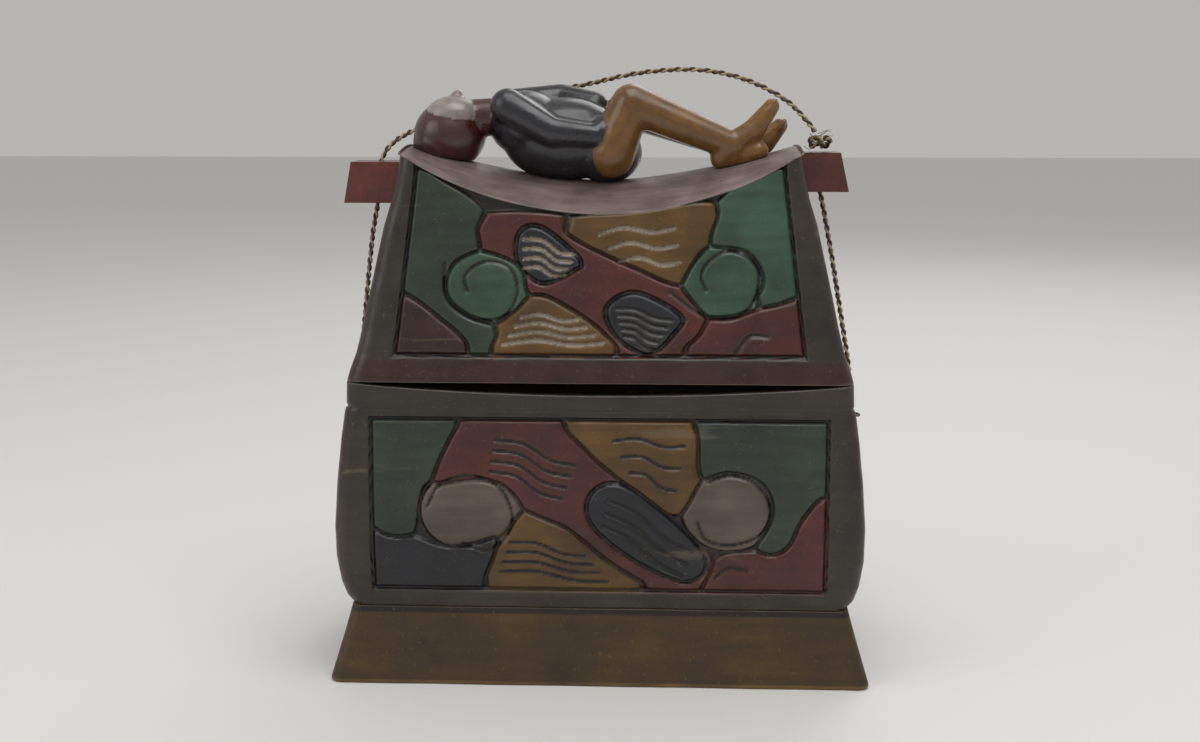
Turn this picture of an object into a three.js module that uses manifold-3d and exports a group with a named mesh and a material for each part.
import * as THREE from 'three';
import Module from 'manifold-3d';
import { mergeVertices } from 'three/addons/utils/BufferGeometryUtils.js';

// A carved and painted wooden box with a lift-off saddle lid, carried on a twisted cord.
// Millimetres, +Z up, the front towards -Y, the origin under the middle of the foot.

// Driving sizes: heights of the parts
const FOOT_H = 34.5;
const BASE_TOP_Z = 137;
const RIM_DIP = 5;
const LID_BOTTOM_Z = 137.4;
const RIDGE_Z = 223.5;
const RIDGE_RISE = 15;
const SADDLE_DROP = 14;
const SADDLE_TIP_DROP = 4;

// Driving sizes: half widths and half depths, given at heights
const FOOT_TOP = [112, 47];
const FOOT_BOTTOM = [122, 54];
const FOOT_CORNER = 5;
const FOOT_FLARE = 1.05;
const FOOT_EDGE_TUCK = 1.2;
const BODY_CORNER = 7;
const BASE_PROFILE = [
  [0, 111.5, 47],
  [4, 114.5, 48.4],
  [11, 116.6, 50],
  [23, 118.2, 51.6],
  [37, 118.4, 52],
  [57, 117, 51.4],
  [76, 115, 50],
  [87.5, 113.4, 49],
  [92, 112.4, 48.6],
  [102.5, 112, 48.4],
];
const LID_PROFILE = [
  [0, 112, 48.4],
  [5, 110.6, 47.4],
  [12, 108, 45.8],
  [22, 105.6, 44],
  [36, 102.6, 42],
  [52, 99, 40.2],
  [68, 95.4, 38.6],
  [80, 91.6, 37.4],
  [92, 89, 36.6],
  [104, 87, 36],
];

// Walls, cavities and the lip that centres the lid
const WALL = 10;
const FLOOR_T = 10;
const LIP_T = 3.5;
const LIP_H = 5;
const LID_WALL = 7;
const LID_CAVITY_H = 58;
const LID_CAVITY_TAPER = 5;
const FIT = 0.3;
const LIP_CLEARANCE = 0.6;
const FOOT_RECESS_H = 24;
const FOOT_WALL = 14;

// The carved panels
const FIELD_DEPTH = 2.4;
const RELIEF_BELOW_FACE = 0.3;
const BASE_FIELD = { halfBottom: 102, halfTop: 102, z0: 42.5, z1: 122.5 };
const LID_FIELD = { halfBottom: 91.5, halfTop: 80, z0: 148, z1: 240 };

// The lugs, the cord and the staples
const CORD_D = 2.5;
const CORD_BORE_D = 3.9;
const SLING_STEPS = 56;
const RUN_STEPS = 12;
const HANDLE_STEPS = 36;
const LUG_DEPTH = 22;
const LUG_LEFT = { root: 86, tip: 114, tipLow: 117.5, z0: 213.5, z1: 232 };
const LUG_RIGHT = { root: 86, tip: 107, tipLow: 111, z0: 219, z1: 236.5 };
const STAPLE_WIRE = 1.2;
const STAPLE_W = 5.2;
const KNOT_R = 5.2;
const LIMB_SIDES = 10;

const wasm = await Module();
wasm.setup();

function solid(geometry) {
  geometry.deleteAttribute('normal');
  geometry.deleteAttribute('uv');
  const merged = mergeVertices(geometry, 1e-4);
  const triVerts = Uint32Array.from(merged.index.array);
  const vertProperties = Float32Array.from(merged.attributes.position.array);
  return new wasm.Manifold(new wasm.Mesh({ numProp: 3, vertProperties, triVerts }));
}

function geometryOf(body) {
  const mesh = body.getMesh();
  const geometry = new THREE.BufferGeometry();
  geometry.setAttribute('position', new THREE.BufferAttribute(mesh.vertProperties, 3));
  geometry.setIndex(new THREE.BufferAttribute(mesh.triVerts, 1));
  return geometry;
}

function union(bodies) {
  return bodies.reduce((sum, body) => sum.add(body));
}

// Sections that follow each other upwards, closed at both ends
function skin(rings) {
  const count = rings[0].length;
  const position = rings.flat(2);
  const index = [];
  for (let r = 0; r + 1 < rings.length; r += 1) {
    for (let i = 0; i < count; i += 1) {
      const a = r * count + i;
      const b = r * count + (i + 1) % count;
      index.push(a, b, b + count, a, b + count, a + count);
    }
  }
  const top = (rings.length - 1) * count;
  for (let i = 1; i + 1 < count; i += 1) {
    index.push(0, i + 1, i, top, top + i, top + i + 1);
  }
  const geometry = new THREE.BufferGeometry();
  geometry.setAttribute('position', new THREE.Float32BufferAttribute(position, 3));
  geometry.setIndex(index);
  return solid(geometry);
}

function roundedRing(halfX, halfY, corner, z, perCorner = 3) {
  const ring = [];
  const centres = [[1, 1], [-1, 1], [-1, -1], [1, -1]];
  centres.forEach(([sx, sy], k) => {
    for (let i = 0; i <= perCorner; i += 1) {
      const angle = (k + i / perCorner) * Math.PI / 2;
      ring.push([
        sx * (halfX - corner) + corner * Math.cos(angle),
        sy * (halfY - corner) + corner * Math.sin(angle),
        z,
      ]);
    }
  });
  return ring;
}

function lofted(profile, z0, inset = 0) {
  const corner = Math.max(BODY_CORNER - inset / 2, 1.5);
  return skin(profile.map(([z, hx, hy]) => roundedRing(hx - inset, hy - inset, corner, z0 + z)));
}

function halfWidthAt(profile, z0, z) {
  const at = profile.findIndex(([pz]) => z0 + pz >= z);
  const k = Math.max(at, 1);
  const [za, xa] = profile[k - 1];
  const [zb, xb] = profile[k];
  return xa + (xb - xa) * (z - z0 - za) / (zb - za);
}

// The saddle: highest at the ends, rounding down to the front and back edges
function saddleZ(x, y, lift = 0) {
  const along = Math.min(Math.abs(x) / 85, 1.1);
  const ridge = RIDGE_Z + RIDGE_RISE * along ** 1.6;
  const drop = SADDLE_DROP + (SADDLE_TIP_DROP - SADDLE_DROP) * Math.min(along, 1) ** 3;
  return ridge - drop * Math.min(Math.abs(y) / 38, 1.2) ** 1.7 + lift;
}

function underSaddle(lift) {
  const rings = [];
  const steps = 28;
  const rows = 10;
  const halfX = 130;
  const halfY = 60;
  for (let i = 0; i <= steps; i += 1) {
    const x = -halfX + 2 * halfX * i / steps;
    const ring = [];
    for (let j = 0; j <= rows; j += 1) {
      const y = -halfY + 2 * halfY * j / rows;
      ring.push([x, y, saddleZ(x, y, lift)]);
    }
    const below = ring.map(([px, py]) => [px, py, BASE_TOP_Z - 60]).reverse();
    rings.push([...ring, ...below]);
  }
  return skinEnds(rings);
}

// Sections that follow each other along X: the first half of each runs to +Y above,
// the second half back below it
function skinEnds(rings) {
  const count = rings[0].length;
  const index = [];
  for (let r = 0; r + 1 < rings.length; r += 1) {
    for (let i = 0; i < count; i += 1) {
      const a = r * count + i;
      const b = r * count + (i + 1) % count;
      index.push(a, b + count, b, a, a + count, b + count);
    }
  }
  const last = (rings.length - 1) * count;
  for (let i = 0; i + 1 < count / 2; i += 1) {
    const j = count - 1 - i;
    index.push(i, i + 1, j - 1, i, j - 1, j);
    index.push(last + i, last + j - 1, last + i + 1, last + i, last + j, last + j - 1);
  }
  const geometry = new THREE.BufferGeometry();
  geometry.setAttribute('position', new THREE.Float32BufferAttribute(rings.flat(2), 3));
  geometry.setIndex(index);
  return solid(geometry);
}

// A closed outline drawn on the front, pushed right through in Y
function prism(points, smooth, from, to) {
  const path = points.map(([x, z]) => new THREE.Vector2(x, z));
  const spline = new THREE.SplineCurve([...path, path[0]]);
  const shape = new THREE.Shape(smooth ? spline.getPoints(points.length * 2).slice(0, -1) : path);
  const geometry = new THREE.ExtrudeGeometry(shape, { depth: to - from, bevelEnabled: false });
  geometry.rotateX(Math.PI / 2);
  geometry.translate(0, to, 0);
  return solid(geometry);
}

function disc(x, z, rx, rz, from, to) {
  const points = [];
  for (let i = 0; i < 16; i += 1) {
    const angle = i * Math.PI / 8;
    points.push([x + rx * Math.cos(angle), z + rz * Math.sin(angle)]);
  }
  return prism(points, false, from, to);
}

// Scroll and leaf carving on the lid, in X and Z
const LID_MOTIFS = [
  [[-80, 224], [-71, 221], [-55, 210], [-54, 198], [-66, 190], [-68, 174], [-52, 162],
    [-45, 157], [-52, 151], [-64, 162], [-79, 175], [-84, 187], [-80, 200]],
  [[78, 226], [62, 219], [53, 210], [52, 200], [66, 196], [71, 183], [68, 174],
    [81, 174], [83, 189], [79, 200], [80, 213]],
  [[-35, 203], [-25, 205], [-8, 191], [-11, 186], [-25, 180.5], [-36, 190]],
  [[3, 170], [16, 177], [36, 167], [33, 159], [22, 150], [8, 157]],
  [[-15, 204], [16, 207], [49, 211], [43, 197], [34, 182], [16, 187], [-5, 196]],
  [[-46, 152], [-36, 168], [-25, 174], [-2, 163], [8, 152], [-18, 150]],
  [[-88, 150], [-89, 161], [-83, 171], [-71, 164], [-60, 153]],
  [[40, 152], [51, 163], [68, 167], [84, 171], [87, 151]],
  [[-20, 206], [-6, 198], [34, 178], [42, 160], [36, 156], [37, 168], [16, 179], [-4, 186]],
];
const LID_DISCS = [[-49, 179, 17, 13], [55.5, 181, 17, 13]];

// Scroll and leaf carving on the base, in X and Z
const BASE_MOTIFS = [
  [[-97, 120], [-66, 120], [-64, 112], [-72, 101], [-81, 94], [-84, 85], [-87, 71],
    [-98, 71], [-99, 94]],
  [[44, 118], [60, 116], [98, 120], [98, 93], [87, 77], [83, 66], [75, 65], [79.5, 81],
    [74, 96], [58, 101], [46, 99]],
  [[-62, 118], [-20, 118], [-3, 99], [0, 93], [-10, 84], [-27, 80], [-44, 94], [-69, 95]],
  [[-5, 85], [3, 93], [16, 90], [42, 68], [48, 55], [38, 48], [16, 58], [-2, 73]],
  [[-11, 118], [40, 118], [43, 99], [38, 85], [25, 87], [4, 105]],
  [[-49, 46], [-41, 70], [-29, 77], [-2, 60], [18, 46]],
  [[-100, 69], [-89, 66], [-67, 59], [-46, 68], [-52, 46], [-99, 46]],
  [[51, 45], [57, 57], [82, 61], [98, 84], [99, 46]],
];
const BASE_DISCS = [[-55.5, 80, 19, 14], [58, 81.5, 16.5, 14]];

function fieldShape(field) {
  return [
    [-field.halfBottom, field.z0],
    [field.halfBottom, field.z0],
    [field.halfTop, field.z1],
    [-field.halfTop, field.z1],
  ];
}

// Sinks the field on the front and back, then leaves the carving standing in it
function carve(body, profile, z0, field, motifs, discs) {
  const reach = 90;
  const through = prism(fieldShape(field), false, -reach, reach);
  const carved = body.subtract(through.subtract(lofted(profile, z0, FIELD_DEPTH)));
  const outlines = motifs.map((points) => prism(points, true, -reach, reach));
  discs.forEach(([x, z, rx, rz]) => outlines.push(disc(x, z, rx, rz, -reach, reach)));
  const face = lofted(profile, z0, RELIEF_BELOW_FACE);
  const core = lofted(profile, z0, FIELD_DEPTH + 2);
  const relief = union(outlines).intersect(through).intersect(face.subtract(core));
  return carved.add(relief);
}

// The cord's routes, chosen by hand; the front view's left is -X
const SLING_POINTS = [
  [-114.2, 0, 136.8], [-114.6, 0, 128], [-116.2, 0, 118], [-118.2, 0, 95], [-120.2, 0, 72],
  [-120.2, 0, 58], [-118.6, 0, 45], [-114.5, 0, 37.5], [-106, 0, 29], [-98, 0, 22],
  [-84, 0, 19], [-50, 0, 18], [0, 0, 18], [50, 0, 18], [84, 0, 19], [98, 0, 22], [106, 0, 29],
  [114.5, 0, 37.5], [118.6, 0, 45], [120.2, 0, 58], [120.2, 0, 72], [118.2, 0, 95],
  [116.2, 0, 118], [114.6, 0, 128], [114.2, 0, 136.8],
];
const LEFT_RUN_POINTS = [
  [-114.2, 0, 137.3], [-112.6, 0, 150], [-110.5, 0, 168], [-108.5, 0, 185], [-106.5, 0, 200],
  [-104, 0, 213], [-103.5, 0, 221],
];
const RIGHT_RUN_POINTS = [
  [114.2, 0, 137.3], [112.2, 0, 150], [108.6, 0, 170], [105, 0, 190], [101, 0, 210],
  [99, 0, 219], [98.2, 0, 228],
];
const HANDLE_POINTS = [
  [-103.3, 0, 221.3], [-102, 0, 232], [-97, 2, 240], [-88, 10, 246], [-76, 20, 252],
  [-55, 26, 258], [-30, 27, 263], [-8, 26, 267], [10, 24, 271], [25, 22, 273], [42, 19, 273.5],
  [58, 15, 271], [72, 11, 266], [84, 7, 259], [92, 3, 251], [96.2, 0, 245.6],
];

function ropePath(points) {
  return new THREE.CatmullRomCurve3(points.map(([x, y, z]) => new THREE.Vector3(x, y, z)));
}

function tube(points, diameter, steps) {
  const section = new THREE.Shape();
  for (let i = 0; i < 8; i += 1) {
    const angle = (i + 0.5) * Math.PI / 4;
    const x = diameter / 2 * Math.cos(angle);
    const y = diameter / 2 * Math.sin(angle);
    if (i === 0) section.moveTo(x, y);
    else section.lineTo(x, y);
  }
  section.closePath();
  const extrudePath = ropePath(points);
  return solid(new THREE.ExtrudeGeometry(section, { steps, extrudePath, bevelEnabled: false }));
}

function makeFoot(bore) {
  const rings = [0, 0.12, 0.3, 0.55, 0.8, 1].map((t) => {
    const flare = (1 - t) ** FOOT_FLARE;
    const tuck = t === 0 ? FOOT_EDGE_TUCK : 0;
    const hx = FOOT_TOP[0] + (FOOT_BOTTOM[0] - FOOT_TOP[0]) * flare - tuck;
    const hy = FOOT_TOP[1] + (FOOT_BOTTOM[1] - FOOT_TOP[1]) * flare - tuck;
    return roundedRing(hx, hy, FOOT_CORNER, t * FOOT_H);
  });
  const recess = skin([
    roundedRing(FOOT_BOTTOM[0] - FOOT_WALL, FOOT_BOTTOM[1] - FOOT_WALL, 4, -1),
    roundedRing(FOOT_TOP[0] - FOOT_WALL, FOOT_TOP[1] - FOOT_WALL, 4, FOOT_RECESS_H),
  ]);
  return skin(rings).subtract(recess).subtract(bore);
}

function rimSag(x) {
  return RIM_DIP * Math.cos(Math.min(Math.abs(x) / 108, 1) * Math.PI / 2) ** 0.8;
}

// What stands above the dipped rim line, to cut away from the outer wall
function aboveRim() {
  const rings = [];
  for (let i = 0; i <= 24; i += 1) {
    const x = -126 + 252 * i / 24;
    const z = BASE_TOP_Z - rimSag(x);
    rings.push([[x, -80, BASE_TOP_Z + 30], [x, 80, BASE_TOP_Z + 30], [x, 80, z], [x, -80, z]]);
  }
  return skinEnds(rings);
}

function makeBase(bore) {
  const z0 = FOOT_H + FIT;
  const outer = lofted(BASE_PROFILE, z0).subtract(aboveRim());
  const [, topX, topY] = BASE_PROFILE[BASE_PROFILE.length - 1];
  const lipOut = WALL - LIP_T;
  const lip = skin([
    roundedRing(topX - lipOut, topY - lipOut, 4, BASE_TOP_Z - 12),
    roundedRing(topX - lipOut, topY - lipOut, 4, BASE_TOP_Z + LIP_H),
  ]);
  const cavity = skin([
    roundedRing(topX - WALL - 2, topY - WALL - 2, 3, z0 + FLOOR_T),
    roundedRing(topX - WALL, topY - WALL, 3, BASE_TOP_Z - 30),
    roundedRing(topX - WALL, topY - WALL, 3, BASE_TOP_Z + LIP_H + 1),
  ]);
  const body = outer.add(lip).subtract(cavity);
  return carve(body, BASE_PROFILE, z0, BASE_FIELD, BASE_MOTIFS, BASE_DISCS).subtract(bore);
}

function makeLid() {
  const z0 = LID_BOTTOM_Z;
  const [, bottomX, bottomY] = LID_PROFILE[0];
  const lipSpace = WALL - LIP_T - LIP_CLEARANCE;
  const mouth = skin([
    roundedRing(bottomX - lipSpace, bottomY - lipSpace, 4.5, z0 - 1),
    roundedRing(bottomX - lipSpace, bottomY - lipSpace, 4.5, z0 + LIP_H + 1),
  ]);
  const cavity = skin([
    roundedRing(bottomX - LID_WALL - 4, bottomY - LID_WALL - 4, 4, z0 - 1),
    roundedRing(
      halfWidthAt(LID_PROFILE, z0, z0 + LID_CAVITY_H) - LID_WALL - LID_CAVITY_TAPER,
      bottomY - LID_WALL - 12,
      4,
      z0 + LID_CAVITY_H,
    ),
  ]);
  const body = lofted(LID_PROFILE, z0).intersect(underSaddle(0)).subtract(mouth).subtract(cavity);
  const carved = carve(body, LID_PROFILE, z0, LID_FIELD, LID_MOTIFS, LID_DISCS);
  return carved.intersect(underSaddle(0));
}

function makeLug(side, lug, bore) {
  const outline = [
    [side * lug.root, lug.z0],
    [side * lug.tipLow, lug.z0],
    [side * lug.tip, lug.z1],
    [side * lug.root, lug.z1],
  ];
  const points = side > 0 ? outline : outline.reverse();
  const block = prism(points, false, -LUG_DEPTH / 2, LUG_DEPTH / 2);
  return block.subtract(lofted(LID_PROFILE, LID_BOTTOM_Z, -FIT)).subtract(bore);
}

// A limb: round sections of given radii along a few hand-chosen points
function limb(points, radii) {
  const parts = points.map((p, i) => ball(p, [radii[i], radii[i], radii[i]]));
  for (let i = 0; i + 1 < points.length; i += 1) {
    const a = new THREE.Vector3(...points[i]);
    const b = new THREE.Vector3(...points[i + 1]);
    const geometry = new THREE.CylinderGeometry(radii[i + 1], radii[i], a.distanceTo(b), LIMB_SIDES);
    const turn = new THREE.Quaternion();
    turn.setFromUnitVectors(new THREE.Vector3(0, 1, 0), b.clone().sub(a).normalize());
    geometry.applyQuaternion(turn);
    geometry.translate(...a.clone().lerp(b, 0.5).toArray());
    parts.push(solid(geometry));
  }
  return union(parts);
}

function ball([x, y, z], [rx, ry, rz]) {
  const geometry = new THREE.SphereGeometry(1, LIMB_SIDES, 7);
  geometry.scale(rx, ry, rz);
  geometry.translate(x, y, z);
  return solid(geometry);
}

function makeFigure(clear) {
  const head = [
    ball([-70, 0, 244], [16.5, 15, 15.5]),
    ball([-74, 0, 240], [13, 14, 13]),
    ball([-67, 0, 252], [14, 12, 10]),
  ];
  const neck = limb([[-60, 0, 254], [-46, 0, 253]], [8, 9]);
  const torso = [
    ball([-35, 0, 249], [17, 19, 15]),
    ball([-18, 0, 242], [28, 19, 19]),
    ball([2, 0, 236], [16, 18, 14]),
  ];
  const arms = [
    limb([[-42, -14, 257], [-22, -18, 246], [-3, -15, 244]], [8, 6.5, 6]),
    limb([[-40, 13, 257], [-20, 15, 260], [-4, 8, 258]], [8, 7, 6]),
    limb([[-3, -15, 244], [2, -9, 251]], [6, 5]),
  ];
  const legs = [
    limb([[4, -9, 236], [13, -9, 258], [60, -8, 239]], [11, 9, 6.5]),
    limb([[4, 9, 236], [11, 9, 256], [62, 8, 238]], [11, 9, 6.5]),
  ];
  const feet = [
    limb([[56, -8, 237], [68, -8, 246], [76, -8, 257]], [6.5, 5.5, 4]),
    limb([[58, 8, 236], [74, 8, 241], [81, 8, 248]], [6.5, 5.5, 4]),
  ];
  const heels = limb([[54, -8, 234], [70, -8, 237]], [5.5, 5]);
  const farHeel = limb([[56, 8, 234], [72, 8, 237]], [5.5, 5]);
  const body = union([...head, neck, ...torso, ...arms, ...legs, ...feet, heels, farHeel]);
  return body.subtract(clear);
}

function makeStaple(side) {
  const z = side > 0 ? 115 : 120.5;
  const wall = halfWidthAt(BASE_PROFILE, FOOT_H + FIT, z) + FIT;
  const out = wall + CORD_D + 2.4;
  const points = [
    [side * wall, -STAPLE_W / 2, z],
    [side * (wall + 1.5), -STAPLE_W / 2, z],
    [side * (out - 1), -STAPLE_W / 2 + 0.3, z],
    [side * out, -1, z],
    [side * out, 1, z],
    [side * (out - 1), STAPLE_W / 2 - 0.3, z],
    [side * (wall + 1.5), STAPLE_W / 2, z],
    [side * wall, STAPLE_W / 2, z],
  ];
  return tube(points, STAPLE_WIRE, 20);
}

function makeKnot() {
  const z = LUG_RIGHT.z1 + KNOT_R * 0.78;
  return union([
    ball([98, 0, z], [KNOT_R, KNOT_R, KNOT_R * 0.72]),
    ball([101.5, -1, z + 0.6], [KNOT_R * 0.7, KNOT_R * 0.7, KNOT_R * 0.62]),
  ]);
}

const PAINT = {
  dark_wood: { color: 0x33291f, roughness: 0.55 },
  lid_wood: { color: 0x3a1d18, roughness: 0.5 },
  ochre: { color: 0x4a3413, roughness: 0.55 },
  red_lacquer: { color: 0x5a2318, roughness: 0.4 },
  black_paint: { color: 0x14161c, roughness: 0.35 },
  cord: { color: 0x7a6a50, roughness: 0.9 },
  wire: { color: 0x6a6a66, roughness: 0.4, metalness: 0.9 },
};

const model = new THREE.Group();

function addPart(name, body, paint) {
  const mesh = new THREE.Mesh(geometryOf(body), new THREE.MeshStandardMaterial(PAINT[paint]));
  mesh.name = name;
  model.add(mesh);
}

const slingBore = tube(SLING_POINTS, CORD_BORE_D, SLING_STEPS);
const leftBore = tube(LEFT_RUN_POINTS, CORD_BORE_D, RUN_STEPS);
const rightBore = tube(RIGHT_RUN_POINTS, CORD_BORE_D, RUN_STEPS);
const handleBore = tube(HANDLE_POINTS, CORD_BORE_D, HANDLE_STEPS);
const knot = makeKnot();

addPart('foot_plinth', makeFoot(slingBore), 'ochre');
addPart('base_body', makeBase(slingBore), 'dark_wood');
addPart('lid_body', makeLid(), 'lid_wood');
addPart('reclining_figure', makeFigure(underSaddle(FIT)), 'black_paint');
addPart('lug_left', makeLug(-1, LUG_LEFT, leftBore.add(handleBore)), 'red_lacquer');
addPart('lug_right', makeLug(1, LUG_RIGHT, rightBore.add(handleBore)), 'red_lacquer');
addPart('cord_sling', tube(SLING_POINTS, CORD_D, SLING_STEPS), 'cord');
addPart('cord_run_left', tube(LEFT_RUN_POINTS, CORD_D, RUN_STEPS), 'cord');
addPart('cord_run_right', tube(RIGHT_RUN_POINTS, CORD_D, RUN_STEPS), 'cord');
addPart('cord_handle', tube(HANDLE_POINTS, CORD_D, HANDLE_STEPS), 'cord');
addPart('cord_knot', knot, 'cord');
addPart('staple_left', makeStaple(-1), 'wire');
addPart('staple_right', makeStaple(1), 'wire');

export default model;
